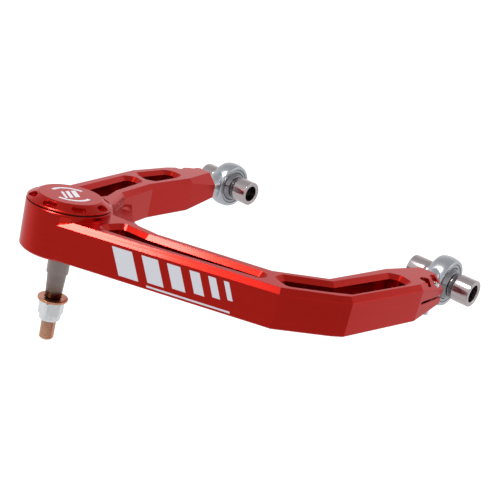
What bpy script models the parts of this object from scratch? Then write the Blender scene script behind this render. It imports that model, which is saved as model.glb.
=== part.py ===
"""Billet suspension control arm: an A-shaped arm, a ball joint at its outer end and a clamped rod end on
each leg.

+X points outboard to the ball joint, +Y along the inboard pivot axis and +Z up. The origin is on the pivot
axis, midway between the two rod-end balls. Lengths are in metres.
"""

import math

import bmesh
import bpy
from mathutils import Matrix, Vector

MM = 0.001

# ---- overall sizes ----
PIVOT_HALF_SPAN = 131.3 * MM  # pivot axis centre to a rod-end ball centre
JOINT_X = 272.0 * MM  # ball-joint axis
JOINT_Y = -66.0 * MM
LAYOUT_HALF_SPAN = 131.3  # span and joint place, in mm, at which the plan points below are drawn
LAYOUT_JOINT = (272.0, -66.0)
LAYOUT_LEG_END = 82.0  # plan points inboard of this follow the rod ends, those past the next one the joint
LAYOUT_JOINT_START = 200.0
LAYOUT_LEG_Y = 90.0
ARM_HALF_HEIGHT = 16.0 * MM
FIT_GAP = 0.3 * MM  # between pieces that touch
FINE_SEGMENTS = 72  # facets of the housing and its cap
SEGMENTS = 36  # facets of other round pieces
SMALL_SEGMENTS = 24  # facets of bolts and bores
BALL_STEPS = 10
RACE_STEPS = 6
WELD_DISTANCE = 0.01 * MM

# ---- arm ----
TOP_CHAMFER = 4.1 * MM
BOTTOM_CHAMFER = 1.0 * MM
NOSE_X = 40.0 * MM  # inboard end face of a leg
NOSE_SIDE_TOP = 6.0 * MM  # side face of the tapered end, above and below the middle
NOSE_SIDE_BOTTOM = -7.0 * MM
NOSE_OUTER = 21.0 * MM  # end face, outward from the rod-end axis
NOSE_INNER = 15.3 * MM
NOSE_TOP_OUTER = 10.0 * MM
NOSE_TOP_INNER = 4.5 * MM
FRONT_OUTER_SIDE = ((221.5, 112.5), (183.5, 141.3), (174.5, 146.3), (82.0, 154.5))
FRONT_INNER_SIDE = ((82.0, 112.9), (158.5, 109.0), (194.3, 82.2), (232.2, -2.0))
CROTCH_SIDE = ((238.5, -20.0), (243.0, -46.0))  # no chamfer: the web runs up to the top face
CROTCH_DROP = 1.0 * MM
KINK_SIDE = ((219.0, -68.0), (191.0, -87.4))
REAR_INNER_SIDE = ((143.0, -102.5), (82.0, -110.0))
REAR_OUTER_SIDE = ((82.0, -151.6), (131.0, -148.5), (184.0, -133.3), (228.0, -120.8))

# ---- scooped web between the legs ----
WEB_FRONT_CORNER = (238.5, -24.0)
WEB_REAR_CORNER = (177.0, -91.8)
WEB_CORNER_RADIUS = 12.0 * MM
WEB_TAIL = 9.0  # how far the web runs on into the rear leg
WEB_INSIDE = (
    (186.0, -108.0),
    (226.0, -84.0),
    (242.0, -64.0),
    (247.5, -38.0),
    (251.0, -18.0),
    (246.0, -6.0),
)
WEB_BOTTOM = -15.2 * MM
WEB_FLOOR = 3.4 * MM  # height of the floor beside the rear leg
WEB_RISE = 12.6 * MM
WEB_RUN = 90.0 * MM
WEB_TOP = 15.4 * MM
WEB_STEPS = 12

# ---- pockets ----
POCKET_CHAMFER = 3.7 * MM
POCKET_FLOOR = 0.0 * MM
UNDER_POCKET_TOP = -8.0 * MM
UNDER_POCKET_CHAMFER = 1.2 * MM
POCKET_RADIUS = 6.0 * MM  # corners of the rim
POCKET_WALL_RADIUS = 4.0 * MM
FRONT_LONG_POCKET = (
    (277.5, -27.0),
    (262.0, -30.0),
    (247.0, -28.5),
    (243.2, -3.5),
    (206.6, 83.5),
    (209.5, 91.8),
    (219.5, 92.8),
    (256.0, 22.0),
)
FRONT_SHORT_POCKET = (
    (207.0, 93.3),
    (194.0, 92.8),
    (162.5, 117.3),
    (88.5, 123.3),
    (81.8, 132.0),
    (85.8, 145.0),
    (99.0, 146.6),
    (169.0, 140.6),
    (185.0, 130.0),
    (211.3, 110.5),
)
REAR_LONG_POCKET = (
    (236.0, -107.5),
    (154.0, -132.2),
    (143.0, -127.5),
    (146.0, -112.7),
    (194.0, -96.6),
    (214.0, -85.6),
    (231.0, -84.4),
)
REAR_SHORT_POCKET = (
    (133.0, -138.2),
    (93.0, -141.3),
    (83.8, -136.5),
    (84.8, -122.5),
    (97.0, -117.6),
    (131.5, -111.8),
    (138.5, -118.0),
    (137.0, -131.0),
)
POCKETS = (FRONT_LONG_POCKET, FRONT_SHORT_POCKET, REAR_LONG_POCKET, REAR_SHORT_POCKET)

# ---- rod-end clamp in each leg ----
SHANK_RADIUS = 9.35 * MM
SHANK_FIT = 0.3 * MM
SHANK_LENGTH = 74.0 * MM  # from the ball centre
SHANK_BORE_DEPTH = 78.0 * MM
ADJUST_TRAVEL = 8.0 * MM
SLIT_WIDTH = 2.4 * MM
SLIT_END = 79.0 * MM
BOLT_OFFSET = 15.0 * MM  # outward from the rod-end axis
BOLT_XS = (48.5 * MM, 65.5 * MM)
BOLT_RADIUS = 3.0 * MM
BOLT_HEAD_RADIUS = 5.0 * MM
BOLT_HEAD_HEIGHT = 6.0 * MM
BOLT_SEAT = 4.6 * MM
BOLT_END = -18.5 * MM
BOLT_SOCKET_FLATS = 5.0 * MM
BOLT_SOCKET_DEPTH = 3.0 * MM

# ---- rod end ----
BALL_RADIUS = 16.65 * MM
BALL_HALF_WIDTH = 11.1 * MM
BALL_BORE = 9.7 * MM
HEAD_BORE = BALL_RADIUS + 1.55 * MM  # the race stands between ball and head
HEAD_RADIUS = HEAD_BORE + 4.6 * MM
HEAD_HALF_WIDTH = 8.2 * MM
HEAD_EDGE = 0.5 * MM
SHANK_START = HEAD_BORE + 1.5 * MM  # inside the head's wall
SHANK_FILLET_START = HEAD_RADIUS + 3.2 * MM
SHANK_FILLET_END = HEAD_RADIUS + 6.2 * MM
SHANK_TIP = 1.0 * MM
SPACER_RADIUS = 12.2 * MM
SPACER_END = 31.9 * MM  # from the ball centre
SPACER_BORE = 7.9 * MM
SPACER_NECK = 10.9 * MM
SPACER_STEPS = (12.6 * MM, 14.4 * MM, 16.4 * MM)  # where the neck ends, flares and reaches full size

# ---- ball-joint housing ----
HOUSING_RADIUS = 33.3 * MM
BOSS_TOP = 21.2 * MM
HOUSING_BOTTOM = -17.0 * MM
THREAD_RADIUS = 27.0 * MM
THREAD_DEPTH = 11.0 * MM  # height of the shoulder under the cap thread
RACE_BORE = 22.5 * MM
LIP_TOP = -10.0 * MM
LIP_RADIUS = 15.6 * MM
MOUTH_RADIUS = 20.0 * MM
JOINT_BALL = 17.0 * MM
SEAT_END = 8.6 * MM  # half height of the two seats together
BALL_LIP = 1.6 * MM  # flat land around the bore of the joint ball

# ---- cap ----
CAP_TOP = 28.0 * MM
CAP_DISC = 24.6 * MM
CAP_RADIUS = 32.8 * MM
CAP_CONE_FOOT = 23.6 * MM
CAP_SKIRT = 21.9 * MM
CAP_SLOTS = 8
CAP_SLOT_PHASE = math.radians(-26.0)
CAP_SLOT_LENGTH = 11.4 * MM
CAP_SLOT_WIDTH = 5.6 * MM
CAP_SLOT_CENTRE = 28.9 * MM
CAP_SLOT_FLOOR = 23.4 * MM
CAP_CAVITY = 22.0 * MM
CAP_ROOF = 24.0 * MM

# ---- stud ----
STUD_TIP = 1.0 * MM
STUD_SHOULDER = 8.8 * MM
STUD_SHOULDER_END = -38.4 * MM
STUD_TAPER_TOP = 7.7 * MM
STUD_TAPER_BOTTOM = 6.55 * MM
STUD_TAPER_END = -59.0 * MM
STUD_THREAD = 6.0 * MM
STUD_END = -96.6 * MM
CLIP_HEIGHT = 1.2 * MM
CLIP_GROOVE = 1.0 * MM
CLIP_LIP = 0.9 * MM
WASHER_RADIUS = 12.3 * MM
WASHER_THICKNESS = 2.0 * MM
NUT_FLATS = 18.0 * MM
NUT_HEIGHT = 17.2 * MM
NUT_INSERT_HEIGHT = 2.6 * MM


def clear_scene():
    for found in list(bpy.data.objects):
        bpy.data.objects.remove(found, do_unlink=True)


def material(name, colour, metallic, roughness):
    made = bpy.data.materials.new(name)
    made.use_nodes = True
    shader = made.node_tree.nodes["Principled BSDF"]
    shader.inputs["Base Color"].default_value = (*colour, 1.0)
    shader.inputs["Metallic"].default_value = metallic
    shader.inputs["Roughness"].default_value = roughness
    made.diffuse_color = (*colour, 1.0)
    return made


def add_object(name, mesh_data, paint=None, smooth_angle=None):
    """Links a bmesh into the scene as an object, with its faces turned outward."""
    bmesh.ops.recalc_face_normals(mesh_data, faces=mesh_data.faces)
    mesh = bpy.data.meshes.new(name)
    mesh_data.to_mesh(mesh)
    mesh_data.free()
    made = bpy.data.objects.new(name, mesh)
    bpy.context.scene.collection.objects.link(made)
    if paint is not None:
        mesh.materials.append(paint)
    if smooth_angle is not None:
        mesh.shade_smooth()
        mesh.set_sharp_from_angle(angle=smooth_angle)
    return made


def fill_loops(mesh_data, loops):
    """Joins a stack of equal closed loops into one closed body."""
    rings = [[mesh_data.verts.new(point) for point in loop] for loop in loops]
    count = len(rings[0])
    for low, high in zip(rings, rings[1:]):
        for index in range(count):
            after = (index + 1) % count
            mesh_data.faces.new((low[index], low[after], high[after], high[index]))
    mesh_data.faces.new(list(reversed(rings[0])))
    mesh_data.faces.new(rings[-1])


def loft(name, loops, paint=None, smooth_angle=None):
    mesh_data = bmesh.new()
    fill_loops(mesh_data, loops)
    return add_object(name, mesh_data, paint, smooth_angle)


def revolve(name, profile, paint=None, segments=SEGMENTS, smooth_angle=math.radians(32)):
    """Turns a closed (radius, height) profile once about the local Z axis."""
    mesh_data = bmesh.new()
    points = [mesh_data.verts.new((radius, 0.0, height)) for radius, height in profile]
    edges = [mesh_data.edges.new((a, b)) for a, b in zip(points, points[1:] + points[:1])]
    on_axis = [edge for edge in edges if all(abs(vert.co.x) < 1e-9 for vert in edge.verts)]
    spun = [edge for edge in edges if edge not in on_axis]
    bmesh.ops.spin(
        mesh_data,
        geom=points + spun,
        cent=(0.0, 0.0, 0.0),
        axis=(0.0, 0.0, 1.0),
        angle=math.tau,
        steps=segments,
        use_merge=True,
        use_duplicate=False,
    )
    for edge in on_axis:
        if edge.is_valid and not edge.link_faces:
            mesh_data.edges.remove(edge)
    bmesh.ops.remove_doubles(mesh_data, verts=mesh_data.verts, dist=1e-7)
    bmesh.ops.dissolve_degenerate(mesh_data, dist=1e-8, edges=mesh_data.edges)
    return add_object(name, mesh_data, paint, smooth_angle)


def hexagon(name, flats, low, high):
    corner = flats / math.sqrt(3.0)
    turns = [math.tau * step / 6 for step in range(6)]
    loops = [[(corner * math.cos(t), corner * math.sin(t), z) for t in turns] for z in (low, high)]
    return loft(name, loops)


def combine(target, operation, *others):
    """Cuts, joins or intersects the target with the other objects, which stay as hidden helpers."""
    for other in others:
        modifier = target.modifiers.new(other.name, "BOOLEAN")
        modifier.operation = operation
        modifier.solver = "EXACT"
        modifier.object = other
        other.hide_render = True
        other.display_type = "WIRE"
    return target


def weld(target):
    """Joins the doubled points that a row of Booleans leaves."""
    modifier = target.modifiers.new("weld", "WELD")
    modifier.merge_threshold = WELD_DISTANCE
    return target


def cut(target, *others):
    return combine(target, "DIFFERENCE", *others)


def cut_together(target, cutters):
    """Takes many cutters from the target in one Boolean."""
    group = bpy.data.collections.new(target.name + "_cutters")
    bpy.context.scene.collection.children.link(group)
    for cutter in cutters:
        bpy.context.scene.collection.objects.unlink(cutter)
        group.objects.link(cutter)
        cutter.hide_render = True
        cutter.display_type = "WIRE"
    modifier = target.modifiers.new(group.name, "BOOLEAN")
    modifier.operation = "DIFFERENCE"
    modifier.solver = "EXACT"
    modifier.operand_type = "COLLECTION"
    modifier.collection = group
    return target


def place(made, location=(0.0, 0.0, 0.0), turn=None):
    made.matrix_world = Matrix.Translation(location) @ (turn or Matrix())
    return made


def fitted(point):
    """Moves a plan point with the joint, or with its leg's rod end, when those leave the layout."""
    x, y = point
    run = (x - LAYOUT_LEG_END) / (LAYOUT_JOINT_START - LAYOUT_LEG_END)
    share = min(max(run, 0.0), 1.0)
    side = min(max(y / LAYOUT_LEG_Y, -1.0), 1.0)
    spread = side * (PIVOT_HALF_SPAN - LAYOUT_HALF_SPAN * MM)
    shift_x = JOINT_X - LAYOUT_JOINT[0] * MM
    shift_y = JOINT_Y - LAYOUT_JOINT[1] * MM
    return (x * MM + share * shift_x, y * MM + share * shift_y + (1.0 - share) * spread)


def in_metres(points):
    return [fitted(point) for point in points]


def mitre(points, index):
    """The offset at a corner of an anticlockwise loop that moves both of its sides inward by one unit."""
    here = Vector(points[index])
    before = (here - Vector(points[index - 1])).normalized()
    after = (Vector(points[(index + 1) % len(points)]) - here).normalized()
    inward = Vector((-before.y, before.x)) + Vector((-after.y, after.x))
    return inward / (1.0 + before.dot(after))


def inset(points, distance):
    moved = [Vector(point) + mitre(points, index) * distance for index, point in enumerate(points)]
    return [(point.x, point.y) for point in moved]


def anticlockwise(points):
    area = sum(a[0] * b[1] - b[0] * a[1] for a, b in zip(points, points[1:] + points[:1]))
    return points if area > 0 else points[::-1]


def arc_corner(before, corner, after, radius, steps):
    """Points of a round of the given radius that replaces a corner."""
    corner = Vector(corner)
    back = (Vector(before) - corner).normalized()
    ahead = (Vector(after) - corner).normalized()
    half = back.angle(ahead) / 2.0
    centre = corner + (back + ahead).normalized() * (radius / math.sin(half))
    start = corner + back * (radius / math.tan(half)) - centre
    end = corner + ahead * (radius / math.tan(half)) - centre
    swing = start.angle_signed(end)
    points = []
    for step in range(steps + 1):
        turned = start.copy()
        turned.rotate(Matrix.Rotation(-swing * step / steps, 2))
        points.append((centre.x + turned.x, centre.y + turned.y))
    return points


def rounded(points, radius, steps=3):
    count = len(points)
    result = []
    for index, corner in enumerate(points):
        before = Vector(points[index - 1])
        after = Vector(points[(index + 1) % count])
        here = Vector(corner)
        bend = (before - here).angle(after - here)
        room = 0.45 * min((before - here).length, (after - here).length) * math.tan(bend / 2.0)
        result += arc_corner(before, here, after, min(radius, room), steps)
    return result


def level(points, height):
    return [(x, y, height) for x, y in points]


# ---- materials ----
RED_ANODISED = material("red_anodised_aluminium", (0.36, 0.008, 0.006), 1.0, 0.3)
DARK_RUBBER = material("black_rubber", (0.012, 0.012, 0.012), 0.0, 0.6)
SPRING_STEEL = material("spring_steel", (0.3, 0.3, 0.31), 1.0, 0.35)
POLYMER = material("bearing_polymer", (0.75, 0.72, 0.62), 0.0, 0.45)
BALL_CHROME = material("hard_chrome", (0.62, 0.62, 0.64), 1.0, 0.12)
STUD_STEEL = material("ground_alloy_steel", (0.36, 0.32, 0.31), 1.0, 0.28)
YELLOW_ZINC = material("yellow_zinc_plate", (0.56, 0.3, 0.12), 1.0, 0.32)
BRIGHT_ZINC = material("bright_zinc_plate", (0.6, 0.62, 0.66), 1.0, 0.25)
NYLON = material("nylon", (0.5, 0.5, 0.48), 0.0, 0.5)
HEAD_ZINC = material("zinc_plated_alloy_steel", (0.46, 0.48, 0.52), 1.0, 0.3)
SPACER_STEEL = material("turned_stainless_steel", (0.42, 0.39, 0.39), 1.0, 0.25)
BOLT_ZINC = material("zinc_plated_bolt", (0.62, 0.64, 0.68), 1.0, 0.25)
LINER = material("ptfe_liner", (0.4, 0.37, 0.32), 0.2, 0.5)


def leg_end(side, outer):
    """One end-face corner of a leg: place, top inset, side heights and bottom inset.

    side is 1 in front and -1 behind.
    """
    reach, top = (NOSE_OUTER, NOSE_TOP_OUTER) if outer else (-NOSE_INNER, -NOSE_TOP_INNER)
    y = side * (PIVOT_HALF_SPAN + reach)
    shift = (0.0, side * (top - reach))
    return (NOSE_X, y), shift, NOSE_SIDE_TOP, shift, NOSE_SIDE_BOTTOM


def arm_loops():
    """The arm's outline as four loops: bottom face, two along the side face, top face."""
    joint = Vector((JOINT_X, JOINT_Y))
    inside = HOUSING_RADIUS - 0.4 * MM
    front_start = joint + Vector((0.93, 0.35)).normalized() * inside
    rear_end = joint + Vector((0.42, -0.9)).normalized() * inside
    well_inside = 0.7 * HOUSING_RADIUS
    hidden = [joint + Vector((math.cos(turn), math.sin(turn))) * well_inside for turn in (-0.9, 0.2)]
    plan = [(tuple(front_start), True)]
    plan += [(point, True) for point in in_metres(FRONT_OUTER_SIDE)]
    plan += [(leg_end(1, True)[0], leg_end(1, True)), (leg_end(1, False)[0], leg_end(1, False))]
    plan += [(point, True) for point in in_metres(FRONT_INNER_SIDE)]
    plan += [(point, False) for point in in_metres(CROTCH_SIDE)]
    plan += [(point, True) for point in in_metres(KINK_SIDE + REAR_INNER_SIDE)]
    plan += [(leg_end(-1, False)[0], leg_end(-1, False)), (leg_end(-1, True)[0], leg_end(-1, True))]
    plan += [(point, True) for point in in_metres(REAR_OUTER_SIDE)]
    plan += [(tuple(rear_end), True)]
    plan += [(tuple(point), False) for point in hidden]
    outline = [point for point, _ in plan]
    loops = [[], [], [], []]
    for index, ((x, y), edge) in enumerate(plan):
        corner = mitre(outline, index)
        top_shift = corner * TOP_CHAMFER
        low_shift = corner * BOTTOM_CHAMFER
        side_top = ARM_HALF_HEIGHT - TOP_CHAMFER
        side_low = -ARM_HALF_HEIGHT + BOTTOM_CHAMFER
        if edge is False:
            top_shift = (0.0, 0.0)
            side_top = ARM_HALF_HEIGHT - CROTCH_DROP
        elif edge is not True:
            _, top_shift, side_top, low_shift, side_low = edge
        loops[0].append((x + low_shift[0], y + low_shift[1], -ARM_HALF_HEIGHT))
        loops[1].append((x, y, side_low))
        loops[2].append((x, y, side_top))
        loops[3].append((x + top_shift[0], y + top_shift[1], ARM_HALF_HEIGHT))
    return loops


def build_web():
    """The web between the legs: its top is a hollow that rises from the rear leg to the front one."""
    front = Vector(fitted(WEB_FRONT_CORNER))
    rear = Vector(fitted(WEB_REAR_CORNER))
    along = (rear - front).normalized()
    leg = Vector(fitted(FRONT_INNER_SIDE[-1]))
    edge = arc_corner(leg, front, rear, WEB_CORNER_RADIUS, 6)[1:]
    tail = rear + along * WEB_TAIL * MM
    outline = edge + [tuple(tail)] + in_metres(WEB_INSIDE)
    walls = loft("web_helper", [level(outline, WEB_BOTTOM), level(outline, WEB_TOP)], RED_ANODISED)
    across = Vector((-along.y, along.x))
    reach = 90.0 * MM
    over = ARM_HALF_HEIGHT + 12.0 * MM
    section = [(-reach, WEB_FLOOR)]
    for step in range(WEB_STEPS + 1):
        run = WEB_RUN * step / WEB_STEPS
        section.append((run, WEB_FLOOR + WEB_RISE * (run / WEB_RUN) ** 2))
    section += [(WEB_RUN, over), (-reach, over)]
    loops = []
    for side in (-reach, reach):
        points = [rear - along * run + across * side for run, _ in section]
        loops.append([(point.x, point.y, height) for point, (_, height) in zip(points, section)])
    return cut(walls, loft("web_hollow_cutter", loops))


def pocket_cutters(name, corners):
    """A pocket from above with a chamfered rim, and a shallow one from below, with a web between them."""
    rim = anticlockwise(in_metres(corners))
    over = 1.0 * MM
    wall = rounded(inset(rim, POCKET_CHAMFER), POCKET_WALL_RADIUS)
    above = [
        level(wall, POCKET_FLOOR),
        level(wall, ARM_HALF_HEIGHT - POCKET_CHAMFER),
        level(rounded(inset(rim, -over), POCKET_RADIUS), ARM_HALF_HEIGHT + over),
    ]
    under = rounded(inset(rim, POCKET_CHAMFER + UNDER_POCKET_CHAMFER), POCKET_WALL_RADIUS)
    below = [
        level(rounded(inset(rim, POCKET_CHAMFER - over), POCKET_RADIUS), -ARM_HALF_HEIGHT - over),
        level(under, -ARM_HALF_HEIGHT + UNDER_POCKET_CHAMFER),
        level(under, UNDER_POCKET_TOP),
    ]
    return loft(name + "_top_cutter", above), loft(name + "_under_cutter", below)


def bolt_point(side, x, height=0.0):
    return (x, side * (PIVOT_HALF_SPAN + BOLT_OFFSET), height)


def clamp_cutters(side, name):
    """Bore, slit and two stepped bolt holes in the end of one leg."""
    along_x = Matrix.Rotation(math.radians(90), 4, "Y")
    axis_y = side * PIVOT_HALF_SPAN
    start = NOSE_X - 5.0 * MM
    tip = SHANK_BORE_DEPTH + 4.0 * MM
    radius = SHANK_RADIUS + SHANK_FIT
    bore = revolve(
        name + "_bore_cutter",
        ((0.0, start), (radius, start), (radius, SHANK_BORE_DEPTH), (0.0, tip)),
        segments=SMALL_SEGMENTS,
    )
    place(bore, (0.0, axis_y, 0.0), along_x)
    outward = NOSE_OUTER + 10.0 * MM
    low, high = sorted((axis_y, axis_y + side * outward))
    corners = [(start, low), (SLIT_END, low), (SLIT_END, high), (start, high)]
    heights = (-SLIT_WIDTH / 2, SLIT_WIDTH / 2)
    slit = loft(name + "_slit_cutter", [level(corners, height) for height in heights])
    cutters = [bore, slit]
    for number, x in enumerate(BOLT_XS, 1):
        hole = BOLT_RADIUS + FIT_GAP
        head = BOLT_HEAD_RADIUS + FIT_GAP
        below = -ARM_HALF_HEIGHT - 4.0 * MM
        above = ARM_HALF_HEIGHT + 2.0 * MM
        shaft = ((0.0, below), (hole, below), (hole, BOLT_SEAT))
        profile = shaft + ((head, BOLT_SEAT), (head, above), (0.0, above))
        cutter = revolve(f"{name}_bolt_cutter_{number}", profile, segments=SMALL_SEGMENTS)
        cutters.append(place(cutter, bolt_point(side, x)))
    return cutters


def joint_place():
    return (JOINT_X, JOINT_Y, 0.0)


def build_arm():
    arm = loft("arm_body", arm_loops(), RED_ANODISED)
    edge = 1.4 * MM
    boss = revolve(
        "housing_helper",
        (
            (0.0, HOUSING_BOTTOM),
            (HOUSING_RADIUS - edge, HOUSING_BOTTOM),
            (HOUSING_RADIUS, HOUSING_BOTTOM + edge),
            (HOUSING_RADIUS, BOSS_TOP - 0.5 * MM),
            (HOUSING_RADIUS - 0.5 * MM, BOSS_TOP),
            (0.0, BOSS_TOP),
        ),
        RED_ANODISED,
        segments=FINE_SEGMENTS,
    )
    combine(arm, "UNION", place(boss, joint_place()))
    combine(arm, "UNION", build_web())
    cutters = []
    for number, corners in enumerate(POCKETS, 1):
        cutters += pocket_cutters(f"pocket_{number}", corners)
    opening = revolve(
        "housing_bore_cutter",
        (
            (0.0, HOUSING_BOTTOM - 1.0 * MM),
            (MOUTH_RADIUS + 0.6 * MM, HOUSING_BOTTOM - 1.0 * MM),
            (LIP_RADIUS, LIP_TOP),
            (RACE_BORE, LIP_TOP),
            (RACE_BORE, THREAD_DEPTH),
            (THREAD_RADIUS + FIT_GAP, THREAD_DEPTH),
            (THREAD_RADIUS + FIT_GAP, BOSS_TOP + 2.0 * MM),
            (0.0, BOSS_TOP + 2.0 * MM),
        ),
    )
    cutters.append(place(opening, joint_place()))
    for side, name in ((1, "front"), (-1, "rear")):
        cutters += clamp_cutters(side, name)
    return weld(cut_together(arm, cutters))


def build_cap():
    plug_end = THREAD_DEPTH + 1.0 * MM
    cap = revolve(
        "ball_joint_cap",
        (
            (0.0, CAP_ROOF),
            (CAP_CAVITY, CAP_ROOF),
            (CAP_CAVITY, plug_end),
            (THREAD_RADIUS, plug_end),
            (THREAD_RADIUS, CAP_SKIRT),
            (CAP_RADIUS - 0.4 * MM, CAP_SKIRT),
            (CAP_RADIUS, CAP_SKIRT + 0.4 * MM),
            (CAP_RADIUS, CAP_CONE_FOOT - 0.5 * MM),
            (CAP_RADIUS - 0.5 * MM, CAP_CONE_FOOT),
            (CAP_DISC, CAP_TOP),
            (0.0, CAP_TOP),
        ),
        RED_ANODISED,
        segments=FINE_SEGMENTS,
    )
    place(cap, joint_place())
    for number in range(CAP_SLOTS):
        angle = CAP_SLOT_PHASE + math.tau * number / CAP_SLOTS
        half = (CAP_SLOT_LENGTH - CAP_SLOT_WIDTH) / 2
        outline = []
        for centre, first in ((half, -90.0), (-half, 90.0)):
            for step in range(7):
                turn = math.radians(first + 30.0 * step)
                across = math.sin(turn) * CAP_SLOT_WIDTH / 2
                outline.append((centre + math.cos(turn) * CAP_SLOT_WIDTH / 2, across))
        heights = (CAP_SLOT_FLOOR, CAP_TOP + MM)
        slot = loft(f"cap_slot_cutter_{number + 1}", [level(outline, height) for height in heights])
        outward = Matrix.Rotation(angle, 3, "Z") @ Vector((CAP_SLOT_CENTRE, 0.0, 0.0))
        spot = Vector((JOINT_X, JOINT_Y, 0.0)) + outward
        cut(cap, place(slot, spot, Matrix.Rotation(angle + math.pi / 2, 4, "Z")))
    return cap


def sphere_points(radius, low, high, steps, outward=1.0):
    """(radius, height) points along a sphere from one height to another."""
    first = math.asin(low / radius)
    last = math.asin(high / radius)
    turns = [first + (last - first) * step / steps for step in range(steps + 1)]
    return [(outward * radius * math.cos(t), radius * math.sin(t)) for t in turns]


def build_joint_inside():
    """Seal ring under the cap, seats, wiper, preload spring and ball. Returns the ball's half height."""
    ring_centre = CAP_RADIUS - 2.3 * MM
    seal_spot = (CAP_SKIRT + BOSS_TOP) / 2
    flat = (CAP_SKIRT - BOSS_TOP) / 2 - 0.06 * MM
    section = (
        (ring_centre - 1.6 * MM, seal_spot - flat),
        (ring_centre + 1.3 * MM, seal_spot - flat),
        (ring_centre + 1.6 * MM, seal_spot),
        (ring_centre + 1.3 * MM, seal_spot + flat),
        (ring_centre - 1.6 * MM, seal_spot + flat),
    )
    place(revolve("cap_seal_ring", section, DARK_RUBBER), joint_place())
    seat_outer = RACE_BORE - FIT_GAP
    inner = JOINT_BALL + FIT_GAP
    half_gap = FIT_GAP / 2
    upper = sphere_points(inner, half_gap, SEAT_END, RACE_STEPS)
    profile = upper + [(seat_outer, SEAT_END), (seat_outer, half_gap)]
    place(revolve("upper_seat", profile, POLYMER), joint_place())
    lower = sphere_points(inner, -SEAT_END, -half_gap, RACE_STEPS)
    profile = lower + [(seat_outer, -half_gap), (seat_outer, -SEAT_END)]
    place(revolve("lower_seat", profile, POLYMER), joint_place())
    low = -SEAT_END - FIT_GAP
    floor = LIP_TOP + FIT_GAP
    wiper_bore = LIP_RADIUS + 0.4 * MM
    wiper = ((wiper_bore, floor), (seat_outer, floor), (seat_outer, low), (wiper_bore, low))
    place(revolve("seal_washer", wiper, DARK_RUBBER), joint_place())
    spring_low = SEAT_END + FIT_GAP
    spring_high = THREAD_DEPTH + 1.0 * MM - FIT_GAP
    rise = 1.0 * MM
    thick = spring_high - spring_low - rise
    spring = (
        (CAP_CAVITY - 3.2 * MM, spring_low + rise),
        (seat_outer, spring_low),
        (seat_outer, spring_low + thick),
        (CAP_CAVITY - 3.2 * MM, spring_low + rise + thick),
    )
    place(revolve("preload_spring", spring, SPRING_STEEL), joint_place())
    bore = STUD_SHOULDER + FIT_GAP
    reach = math.sqrt(JOINT_BALL**2 - (bore + BALL_LIP) ** 2)
    ball = sphere_points(JOINT_BALL, -reach, reach, BALL_STEPS) + [(bore, reach), (bore, -reach)]
    made = revolve("joint_ball", ball, BALL_CHROME)
    place(made, joint_place())
    return reach


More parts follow.
